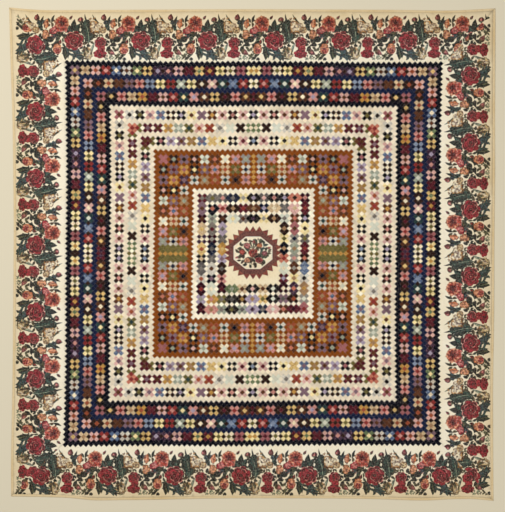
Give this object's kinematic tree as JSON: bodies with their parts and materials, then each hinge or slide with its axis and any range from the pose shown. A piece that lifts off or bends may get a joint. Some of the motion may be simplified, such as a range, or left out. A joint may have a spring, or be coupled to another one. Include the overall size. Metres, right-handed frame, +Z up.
{
  "type": "applique bedcover",
  "caption": "Large square bedcover laid flat: frames of small squares on point round an applied octagon and sunburst, with a wide floral border and a bound edge.",
  "frame": {"origin": "under the middle of the whole cover, on the surface that it lies on", "axes": "+X to the right and +Y to the top of the cover as it is looked down on, +Z up off the surface"},
  "size_m": [2.918, 2.96, 0.0053],
  "materials": {
    "medallion_cloth": "plain cream cotton",
    "sunburst_print": "small printed madder cotton",
    "panel_print": "printed cotton",
    "white_edging": "plain white cotton",
    "patchwork_dark_on_white": "pieced printed cottons",
    "patchwork_brown": "pieced printed cottons",
    "patchwork_cream": "pieced printed cottons",
    "patchwork_navy": "pieced printed cottons",
    "border_chintz": "roller-printed floral cotton with a slight glaze",
    "binding_tape": "plain cotton tape"
  },
  "bodies": {
    "root": {"medallion_ground": "medallion_cloth", "sunburst": "sunburst_print", "octagon_panel": "panel_print", "octagon_edging": "white_edging", "inner_frame_top": "patchwork_dark_on_white", "inner_frame_right": "patchwork_dark_on_white", "inner_frame_bottom": "patchwork_dark_on_white", "inner_frame_left": "patchwork_dark_on_white", "brown_frame_top": "patchwork_brown", "brown_frame_right": "patchwork_brown", "brown_frame_bottom": "patchwork_brown", "brown_frame_left": "patchwork_brown", "cream_frame_top": "patchwork_cream", "cream_frame_right": "patchwork_cream", "cream_frame_bottom": "patchwork_cream", "cream_frame_left": "patchwork_cream", "navy_frame_top": "patchwork_navy", "navy_frame_right": "patchwork_navy", "navy_frame_bottom": "patchwork_navy", "navy_frame_left": "patchwork_navy", "border_top": "border_chintz", "border_right": "border_chintz", "border_bottom": "border_chintz", "border_left": "border_chintz", "binding_top": "binding_tape", "binding_right": "binding_tape", "binding_bottom": "binding_tape", "binding_left": "binding_tape"}
  },
  "joints": []
}
